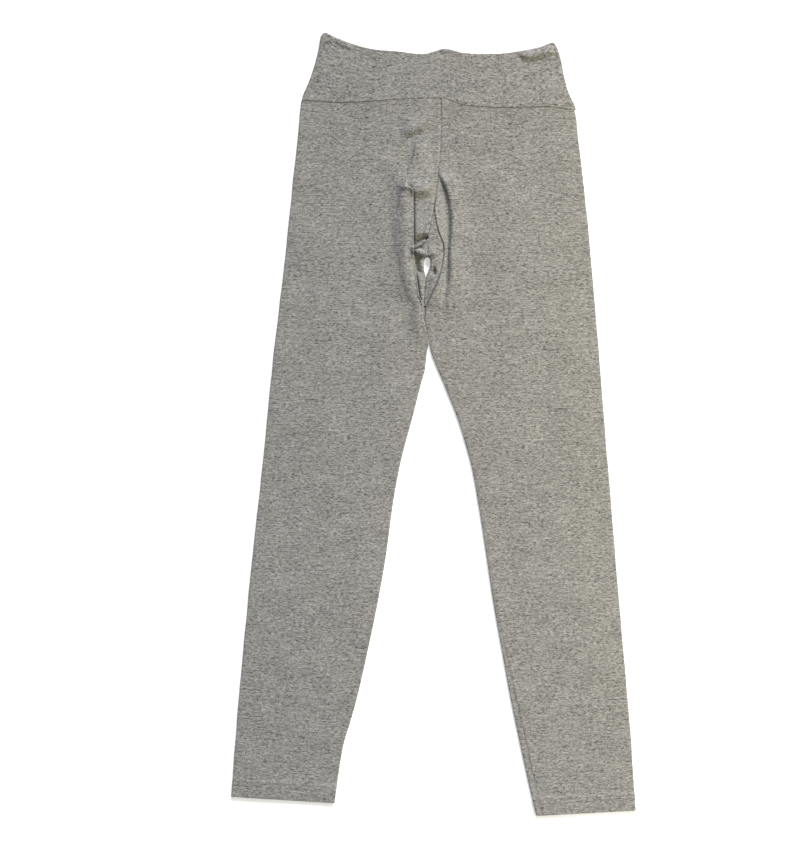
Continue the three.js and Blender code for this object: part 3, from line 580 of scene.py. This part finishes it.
def right_section(y, cloth):
    """The right leg at y, from its back seam over the top, round the outside and back below."""
    floor = cloth / 2
    outer_x = right_outer(y) - cloth / 2 - OUTER_INSET
    tube = y < GUSSET_TIP
    inner_radius = (cloth + AIR) / 2
    inner_x = right_inner(y) + cloth / 2 + inner_radius
    seam_x = right_inner(y) + right_inseam(y) if tube else rise["back_right"](y)
    # higher up the inseam lies pressed flat at the fold
    shows = ease((INSEAM_SHOWS - y) / INSEAM_SHOWS_OVER)
    slit_share = 0.1 + 0.2 * shows if tube else 0.5
    near_x = mix(seam_x + SEAM * slit_share, outer_x, NEAR_SPREAD)
    depth = mix(TUBE_DIP, INSEAM_DIP, shows) if tube else deeper_seam(y)
    near_z = upper(near_x, y, cloth) - seam_dip(near_x - near_x[0]) * depth
    near_z = np.maximum(near_z, least_height(cloth))
    outer_radius = (near_z[-1] - floor) / 2
    front_x = rise["front_right"](y) + SEAM / 2
    if tube:  # the inner fold turns up and over to the inseam on the upper side
        turned = math.pi * ease((GUSSET_TIP - y) / (GUSSET_TIP - TUBE_START))
        length = max(LEAST_FOLD, (seam_x - SEAM / 2 - inner_x) * turned / math.pi)
        closing = hook(inner_x, floor, inner_radius, turned, length, INSEAM, TURN)[::-1]
        closing[:, 1] = 2 * floor - closing[:, 1]
    else:
        closing = level_run(run(front_x + FRONT_INSET, front_x, INSEAM + TURN), floor)
    return np.concatenate([
        np.stack([near_x, near_z], axis=1),
        half_turn(outer_x, floor + outer_radius, outer_radius, 1, OUTSIDE)[::-1],
        level_run(run(outer_x, inner_x if tube else front_x + FRONT_INSET + 1, FAR), floor),
        closing,
    ])


def leg_stations(hem):
    """Heights of a leg's rows, from the waist seam down to the hem, closer together where the cloth bends."""
    at_waist = WAIST_MIDDLE - np.array([0, 0.3, 0.7, 1.2, 1.8, 2.6, 3.6, 5])
    seat = np.concatenate([np.arange(408, 313, -2.0), np.arange(312, 250, -1.3),
                           np.arange(249.5, 224, -0.9), np.arange(223.5, GUSSET_TIP, -1.3)])
    crotch = np.arange(GUSSET_TIP - 0.6, TUBE_SETTLED, -1.6)
    leg = np.arange(TUBE_SETTLED, hem + HEM_DEPTH + HEM_STEP + 4, -4.6)
    above_hem = [26, 24, 22.6, 21.4, 20.6, 20, 19.4, 18.4, 17.2, 16]
    above_hem += [15.1, 14.5, 13.9, 12.8, 10.5, 8, 6, 4, 2.6]
    hem_edge = [1.7, 1.1, 0.65, 0.3, 0.08, 0]
    return np.concatenate([at_waist, seat, crotch, leg, hem + np.array(above_hem + hem_edge)])


def rounded(thickness, from_edge):
    """Thickness of folded cloth near its fold, which is a half circle."""
    radius = thickness / 2
    inside = np.clip(1 - np.asarray(from_edge, float) / radius, 0, 1)
    return thickness * np.maximum(np.sqrt(1 - inside**2), 0.2)


def leg_cloth(side):
    """The leg's rows of points on the middle of its cloth, with each row's thickness."""
    section = left_section if side == "left" else right_section
    hem = HEM_HEIGHT[side]
    rows, thickness = [], []
    for y in leg_stations(hem):
        from_hem = y - hem
        cloth = mix(HEM_CLOTH, JERSEY, ease((from_hem - HEM_DEPTH) / HEM_STEP))
        points = section(y, cloth)
        drawn_in = sum(math.exp(-((from_hem - needle) ** 2)) for needle in NEEDLE_ROWS)
        on_top = points[:, 1] > cloth * 1.5
        at_waist = seam_dip(WAIST_MIDDLE - y) * WAIST_SHARE
        points[:, 1] -= on_top * (NEEDLE_DIP * drawn_in + at_waist)
        waist_share = ease((y - WAIST_FADES) / (WAIST_MIDDLE - WAIST_FADES))
        slope = HEM_SLOPE[side] * ease((TUBE_SETTLED - y) / (TUBE_SETTLED - hem))
        x = points[:, 0]
        to_seam = waist_seam(x) - WAIST_MIDDLE - WAIST_SLIT / 2
        page_y = y + waist_share * to_seam + slope * (x - HEM_MIDDLE[side])
        rows.append(np.stack([x, page_y, points[:, 1]], axis=1))
        thickness.append(rounded(cloth, from_hem))
    return np.array(rows), np.array(thickness)


def gusset_cloth():
    """The gusset's rows of points, their thickness, and the way that each heads. Each runs from the back
    seam to the fold line, turns under and runs to the front."""
    half = JERSEY / 2
    fold_height, loft_at = column(GUSSET_FOLD, "height"), column(GUSSET_FOLD, "loft")
    front_height = through(GUSSET_FRONT)
    arms, grain = [], []
    for side in ("right", "left"):
        fold_x = column(GUSSET_FOLD, side)
        inset = SEAM if side == "left" else -0.7 * SEAM
        rows, directions = [], []
        at_tip = GUSSET_TIP + np.array([0.4, 1, 2])
        for y in np.concatenate([at_tip, np.arange(157, GUSSET_HEIGHT, 1.7), [GUSSET_HEIGHT]]):
            back = np.array([rise["back_" + side](y) + inset, y])
            front_y = front_height(y)
            front = np.array([rise["front_" + side](front_y) + inset, front_y])
            fold = np.array([fold_x(y), fold_height(y)])
            lift = loft_at(y) + AIR + JERSEY
            radius = lift / 2
            inwards = (back - fold) / np.linalg.norm(back - fold)
            centre = fold + inwards * (half + radius)
            directions.append(-inwards)
            share = from_seam(0, 1, 20)
            near = mix(back, centre, share[:, None])
            near_z = mix(upper(*back, JERSEY), half + lift, ease(share) ** 3)
            near_z += (relief(*near.T) - relief(*back)) * (1 - share**3)
            near_z -= ARM_SINKS * ease((ARM_SINKS_FROM - y) / ARM_SINKS_OVER) * (1 - share**2)
            near_z -= seam_dip(np.linalg.norm(near - back, axis=1))
            near_z = np.maximum(near_z, least_height(JERSEY))
            angle = math.pi / 2 - math.pi * np.arange(1, OUTSIDE + 1) / (OUTSIDE + 1)
            turn = centre - inwards * radius * np.cos(angle)[:, None]
            turn_z = half + radius + radius * np.sin(angle)
            under = mix(centre, front, run(0, 1, 8)[:, None])
            rows.append(np.concatenate([
                np.column_stack([near, near_z]),
                np.column_stack([turn, turn_z]),
                np.column_stack([under, np.full(8, half)]),
            ]))
        arms.append(rows)
        grain.append(directions)
    grid = np.array(arms[0] + arms[1][-2::-1])
    return grid, np.full(len(grid), JERSEY), np.array(grain[0] + grain[1][-2::-1])


def band_cloth(layer):
    """One layer of the waistband, from its rim to the waist seam, turned at both ends to meet the other."""
    back = layer == "back"
    level = BAND_LEVEL if back else BAND_CLOTH / 2
    seam_level = BAND_CLOTH + BAND_AIR / 2
    radius = abs(level - seam_level) - BAND_UPRIGHT
    angles = np.radians(np.arange(0, 91, 15))
    out = np.append(radius * np.sin(angles), radius)
    up = np.append(BAND_UPRIGHT + radius * np.cos(angles), SEAM / 2)
    rim_left, rim_right = RIM[0]["x"], RIM[-1]["x"]
    middle = np.linspace(0, 1, 170)
    near_rim = np.array([0, 0.0008, 0.003, 0.007, 0.012, 0.02, 0.03])
    near_seam = 1 - np.array([0.06, 0.045, 0.033, 0.023, 0.015, 0.009, 0.004, 0])
    drops = np.concatenate([near_rim, np.linspace(0.045, 0.92, 40), near_seam])
    rows, thickness = [], []

    def edge(side, drop, foot, rim):
        return band_side[side](mix(rim_height(rim), waist_seam(foot), drop))

    for drop in drops:
        left_edge = mix(edge("left", drop, BAND_FOOT[0], rim_left), BAND_FOOT[0], drop**8)
        right_edge = mix(edge("right", drop, BAND_FOOT[1], rim_right), BAND_FOOT[1], drop**8)
        width = right_edge - left_edge
        turned = (BAND_CLOTH / 2 + radius - out) / width
        share = np.concatenate([turned[::-1], mix(turned[0], 1 - turned[0], middle[1:-1]), 1 - turned])
        rim_x = mix(rim_left, rim_right, share)
        hidden = 0 if back else FRONT_RIM_DROP * np.minimum(1, 3 * np.sin(math.pi * share))
        seam_y = waist_seam(mix(BAND_FOOT[0], BAND_FOOT[1], share)) + WAIST_SLIT / 2
        x = mix(left_edge, right_edge, share)
        y = mix(rim_height(rim_x) - hidden, seam_y, drop)
        z = np.full_like(x, level)
        if back:
            z += relief(x, y) - seam_dip(y - seam_y) * WAIST_SHARE
        upright = seam_level + math.copysign(1, level - seam_level) * up
        z[: len(up)] = upright[::-1]
        z[-len(up) :] = upright
        rows.append(np.stack([x, y, z], axis=1))
        thickness.append(rounded(BAND_CLOTH, drop * (rim_height(0) - waist_seam(0))))
    return np.array(rows), np.array(thickness)


def build_cloth(name, grid, thickness, grain, flip=False, upright=True):
    """A closed wall of cloth round a grid of points on its middle. Its UV map, in metres, follows the grain:
    it is measured along each row from one column, or from each row's start in its own direction."""
    rows, columns, _ = grid.shape
    step = np.diff(grid, axis=1)
    length = np.linalg.norm(step, axis=2)
    step /= length[..., None]
    across = np.zeros_like(grid)
    across[:, :-1] += step
    across[:, 1:] += step
    along = np.broadcast_to([0.0, -1.0, 0.0], grid.shape) if upright else np.gradient(grid, axis=0)
    normal = np.cross(across, along) * (-1 if flip else 1)
    normal /= np.linalg.norm(normal, axis=2)[..., None]
    offset = normal * thickness[:, None, None] / 2
    points = np.concatenate([(grid + offset).reshape(-1, 3), (grid - offset).reshape(-1, 3)]) * MM

    outer = np.arange(rows * columns).reshape(rows, columns)
    inner = outer + rows * columns
    strips = [
        (outer[:-1, :-1], outer[:-1, 1:], outer[1:, 1:], outer[1:, :-1]),
        (inner[:-1, :-1], inner[1:, :-1], inner[1:, 1:], inner[:-1, 1:]),
        (outer[:-1, 0], outer[1:, 0], inner[1:, 0], inner[:-1, 0]),
        (outer[1:, -1], outer[:-1, -1], inner[:-1, -1], inner[1:, -1]),
        (outer[0, 1:], outer[0, :-1], inner[0, :-1], inner[0, 1:]),
        (outer[-1, :-1], outer[-1, 1:], inner[-1, 1:], inner[-1, :-1]),
    ]
    faces = np.concatenate([np.stack([corner.ravel() for corner in strip], axis=1) for strip in strips])
    if flip:
        faces = faces[:, ::-1]
    mesh = bpy.data.meshes.new(name)
    mesh.from_pydata(points.tolist(), [], faces.tolist())

    widths = np.concatenate([np.zeros((rows, 1)), np.cumsum(length, axis=1)], axis=1)
    if isinstance(grain, int):
        middle = grid[:, grain]
        heights = np.concatenate([[0], np.cumsum(np.linalg.norm(np.diff(middle, axis=0), axis=1))])
        widths -= widths[:, grain : grain + 1]
        cloth_uv = np.stack([widths, np.broadcast_to(heights[:, None], widths.shape)], axis=2)
    else:
        cloth_uv = grid[:, :1, :2] + grain[:, None] * widths[..., None]
    cloth_uv = cloth_uv.reshape(-1, 2) * MM
    uv_map = mesh.uv_layers.new(name="cloth")
    uv_map.data.foreach_set("uv", np.tile(cloth_uv, (2, 1))[faces.ravel()].ravel())

    piece = bpy.data.objects.new(name, mesh)
    bpy.context.collection.objects.link(piece)
    smooth(piece)
    return piece


def select_only(piece):
    bpy.ops.object.select_all(action="DESELECT")
    piece.select_set(True)
    bpy.context.view_layer.objects.active = piece


def smooth(piece):
    select_only(piece)
    bpy.ops.object.shade_smooth_by_angle(angle=math.radians(50))


# Materials
def linear(hex_colour):
    """An sRGB hex colour as linear RGBA."""
    channels = [int(hex_colour[i : i + 2], 16) / 255 for i in (1, 3, 5)]
    return [c / 12.92 if c <= 0.04045 else ((c + 0.055) / 1.055) ** 2.4 for c in channels] + [1]


def add_node(tree, kind, inputs, **settings):
    """Adds a node. Inputs are values, or the sockets that feed it, by name or number."""
    made = tree.nodes.new("ShaderNode" + kind)
    for name, value in settings.items():
        setattr(made, name, value)
    for name, value in inputs.items():
        if isinstance(value, bpy.types.NodeSocket):
            tree.links.new(value, made.inputs[name])
        else:
            made.inputs[name].default_value = value
    return made


def new_material(name):
    material = bpy.data.materials.new(name)
    material.use_nodes = True
    tree = material.node_tree
    tree.nodes.clear()
    return material, tree


# Marl cotton jersey, knitted from yarn that is spun of dark and pale fibres. Every course of the knit shows
# the yarn's dark and pale stretches as short flecks that run across the leg.
FLECK = (4.2, 1.65)  # length along the course, and width: one course of the knit
FIBRE = (1.9, 1.1)
STREAK = (24, 1.9)  # a stretch of yarn that is darker or paler as a whole
CLOUD = (38, 30)
MARL = [
    dict(size=FLECK, detail=1.5, share=1.0),
    dict(size=FIBRE, detail=1, share=0.55),
    dict(size=STREAK, detail=1, share=0.35),
    dict(size=CLOUD, detail=2, share=0.14),
]
MARL_RANGE = 0.36  # from the mean to wholly dark or wholly pale
WALE, COURSE = 1.7, 1.4  # the real loops are half this, too fine to show, so they are drawn coarser


def marl_jersey():
    material, tree = new_material("marl_cotton_jersey")
    uv = add_node(tree, "UVMap", {}, uv_map="cloth").outputs["UV"]

    def noise(size, detail):
        scale = (1 / (size[0] * MM), 1 / (size[1] * MM), 1)
        place = add_node(tree, "Mapping", {"Vector": uv, "Scale": scale})
        return add_node(
            tree, "TexNoise", {"Vector": place.outputs[0], "Scale": 1, "Detail": detail, "Roughness": 0.55,
                              "Distortion": 0.7},
            noise_dimensions="2D",
        ).outputs["Fac"]

    flecks = 0.0
    for layer in MARL:
        flecks = add_node(
            tree, "Math", {0: noise(layer["size"], layer["detail"]), 1: layer["share"], 2: flecks},
            operation="MULTIPLY_ADD",
        ).outputs[0]
    mean = sum(layer["share"] for layer in MARL) / 2
    pale = add_node(
        tree, "MapRange", {"Value": flecks, "From Min": mean - MARL_RANGE, "From Max": mean + MARL_RANGE}
    ).outputs["Result"]
    colour = add_node(
        tree, "Mix", {0: pale, 6: linear("#464645"), 7: linear("#b5b4b1")}, data_type="RGBA"
    ).outputs[2]

    loops = []
    for pitch, direction in ((WALE, "X"), (COURSE, "Y")):
        loops.append(add_node(
            tree, "TexWave",
            {"Vector": uv, "Scale": math.tau / (20 * pitch * MM), "Distortion": 0.6, "Detail": 0},
            bands_direction=direction,
        ).outputs["Fac"])
    knit = add_node(tree, "Math", {0: loops[0], 1: loops[1]}, operation="MULTIPLY").outputs[0]
    height = add_node(tree, "Math", {0: flecks, 1: 0.8, 2: knit}, operation="MULTIPLY_ADD").outputs[0]
    bump = add_node(tree, "Bump", {"Height": height, "Strength": 0.35, "Distance": 0.25 * MM})
    shader = add_node(tree, "BsdfPrincipled", {
        "Base Color": colour,
        "Roughness": 0.92,
        "Specular IOR Level": 0.18,
        "Sheen Weight": 0.12,
        "Sheen Roughness": 0.5,
        "Normal": bump.outputs["Normal"],
    })
    add_node(tree, "OutputMaterial", {"Surface": shader.outputs[0]})
    return material


# Spun polyester sewing thread in the cloth's mean grey, with a slight gloss
def sewing_thread():
    material, tree = new_material("spun_polyester_thread")
    place = add_node(tree, "TexCoord", {}).outputs["Object"]
    twist = add_node(
        tree, "TexNoise", {"Vector": place, "Scale": 1 / (0.5 * MM), "Detail": 1}
    ).outputs["Fac"]
    colour = add_node(
        tree, "Mix", {0: twist, 6: linear("#6c6b67"), 7: linear("#94928c")}, data_type="RGBA"
    ).outputs[2]
    shader = add_node(tree, "BsdfPrincipled", {"Base Color": colour, "Roughness": 0.6})
    add_node(tree, "OutputMaterial", {"Surface": shader.outputs[0]})
    return material


# Opal acrylic light table: matt white, and lit faintly from inside, which takes the edge off the shadows
def light_table():
    material, tree = new_material("opal_acrylic_light_table")
    shader = add_node(tree, "BsdfPrincipled", {
        "Base Color": linear("#fbfbfa"),
        "Roughness": 0.8,
        "Specular IOR Level": 0.1,
        "Emission Color": linear("#ffffff"),
        "Emission Strength": 0.4,
    })
    add_node(tree, "OutputMaterial", {"Surface": shader.outputs[0]})
    return material


# The cloth
left_points, left_thickness = leg_cloth("left")
right_points, right_thickness = leg_cloth("right")
gusset_points, gusset_thickness, gusset_grain = gusset_cloth()
back_points, back_thickness = band_cloth("back")
front_points, front_thickness = band_cloth("front")

LEFT_FOLD_COLUMN = LOW + 2 * TURN + 1 + TOP
RIGHT_FOLD_COLUMN = len(NEAR_SPREAD)
BAND_MIDDLE_COLUMN = back_points.shape[1] // 2
left_leg = build_cloth("left_leg_cloth", left_points, left_thickness, LEFT_FOLD_COLUMN)
right_leg = build_cloth("right_leg_cloth", right_points, right_thickness, RIGHT_FOLD_COLUMN, flip=True)
gusset = build_cloth("gusset_cloth", gusset_points, gusset_thickness, gusset_grain, upright=False)
band_back = build_cloth("waistband_back_cloth", back_points, back_thickness, BAND_MIDDLE_COLUMN, flip=True)
band_front = build_cloth("waistband_front_cloth", front_points, front_thickness, BAND_MIDDLE_COLUMN)

# The hems' stitching: two rows of stitches round each leg
STITCH_LENGTH = 2.5
STITCH_PITCH = 3.1
THREAD = 0.55


def model_stitch():
    """One stitch along X at the origin: a short thread whose two ends dive into the cloth."""
    bpy.ops.object.select_all(action="DESELECT")
    bpy.ops.mesh.primitive_cylinder_add(
        vertices=6, radius=THREAD / 2 * MM, depth=STITCH_LENGTH * 0.6 * MM, rotation=(0, math.pi / 2, 0)
    )
    stitch = bpy.context.object
    bpy.ops.object.transform_apply(location=True, rotation=True, scale=True)
    bpy.ops.object.mode_set(mode="EDIT")
    bpy.ops.mesh.select_mode(type="FACE")
    for side in (-1, 1):
        bpy.ops.mesh.select_all(action="DESELECT")
        bpy.ops.object.mode_set(mode="OBJECT")
        for face in stitch.data.polygons:
            face.select = face.normal.x * side > 0.9
        bpy.ops.object.mode_set(mode="EDIT")
        move = (side * STITCH_LENGTH * 0.2 * MM, 0, -THREAD * 0.75 * MM)
        bpy.ops.mesh.extrude_region_move(TRANSFORM_OT_translate={"value": move})
        bpy.ops.transform.resize(value=(0.5, 0.6, 0.6))
    bpy.ops.object.mode_set(mode="OBJECT")
    return stitch


def hem_stitches(name, points, side, stitch, flip):
    """Every stitch of one hem, copied from the one and joined."""
    hem = HEM_HEIGHT[side]
    stations = leg_stations(hem)
    source = np.array([v.co for v in stitch.data.vertices])
    source_faces = [list(face.vertices) for face in stitch.data.polygons]
    vertices, faces = [], []
    for needle in NEEDLE_ROWS:
        row = int(np.argmin(abs(stations - hem - needle)))
        middle = points[row] * MM
        step = np.diff(middle, axis=0)
        distance = np.concatenate([[0], np.cumsum(np.linalg.norm(step, axis=1))])
        count = int(distance[-1] / (STITCH_PITCH * MM))
        for at in (np.arange(count) + 0.5) * distance[-1] / count:
            i = min(np.searchsorted(distance, at) - 1, len(step) - 1)
            along = step[i] / np.linalg.norm(step[i])
            up = np.cross(along, [0, -1, 0]) * (-1 if flip else 1)
            up /= np.linalg.norm(up)
            place = mix(middle[i], middle[i + 1], (at - distance[i]) / (distance[i + 1] - distance[i]))
            place = place + up * (HEM_CLOTH / 2 + THREAD * 0.1) * MM
            turn = np.stack([along, np.cross(up, along), up])
            faces += [[v + len(vertices) * len(source) for v in face] for face in source_faces]
            vertices.append(source @ turn + place)
    mesh = bpy.data.meshes.new(name)
    mesh.from_pydata(np.concatenate(vertices).tolist(), [], faces)
    piece = bpy.data.objects.new(name, mesh)
    bpy.context.collection.objects.link(piece)
    smooth(piece)
    return piece


one_stitch = model_stitch()
left_stitches = hem_stitches("left_hem_stitches", left_points, "left", one_stitch, False)
right_stitches = hem_stitches("right_hem_stitches", right_points, "right", one_stitch, True)
bpy.data.objects.remove(one_stitch)

jersey = marl_jersey()
thread = sewing_thread()
for piece, node in (
    (left_leg, "left_leg"),
    (right_leg, "right_leg"),
    (gusset, "gusset"),
    (band_back, "waistband_back"),
    (band_front, "waistband_front"),
):
    piece.data.materials.append(jersey)
    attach(piece, "root")
    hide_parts(node)
for piece in (left_stitches, right_stitches):
    piece.data.materials.append(thread)
    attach(piece, "root")

# Table, light and camera
bpy.ops.object.select_all(action="DESELECT")
bpy.ops.mesh.primitive_plane_add(size=9, location=(0, 0, -0.5 * MM))
table = bpy.context.object
table.name = "table"
table.data.materials.append(light_table())


def area_light(name, place, size, watts, hex_colour):
    """A soft light at place, aimed at the middle of the table. Its size is along the garment and upwards."""
    data = bpy.data.lights.new(name, "AREA")
    data.shape = "RECTANGLE"
    data.size, data.size_y = size
    data.energy = watts
    data.color = linear(hex_colour)[:3]
    light = bpy.data.objects.new(name, data)
    light.location = place
    light.rotation_euler = light.location.to_track_quat("Z", "Y").to_euler()
    bpy.context.collection.objects.link(light)


area_light("window_light", (0.85, 0.05, 0.75), (1.8, 0.4), 11.5, "#fff5cc")

sky_data = bpy.data.lights.new("sky_light", "SUN")
sky_data.energy = 3.6
sky_data.angle = math.radians(18)
sky_data.color = linear("#faf9ff")[:3]
sky = bpy.data.objects.new("sky_light", sky_data)
sky.location = (0.45, 1.6, 1.0)
sky.rotation_euler = sky.location.to_track_quat("Z", "Y").to_euler()
bpy.context.collection.objects.link(sky)

world = bpy.data.worlds.new("studio")
bpy.context.scene.world = world
world.use_nodes = True
world.node_tree.nodes["Background"].inputs["Color"].default_value = linear("#eef2ff")
world.node_tree.nodes["Background"].inputs["Strength"].default_value = 0.24

camera_data = bpy.data.cameras.new("camera")
camera_data.lens = 65.7
camera_data.clip_end = 20
camera = bpy.data.objects.new("camera", camera_data)
camera.location = (-0.0436, 0.0036, 2.0)
bpy.context.collection.objects.link(camera)
bpy.context.scene.camera = camera
bpy.context.scene.view_settings.view_transform = "Standard"
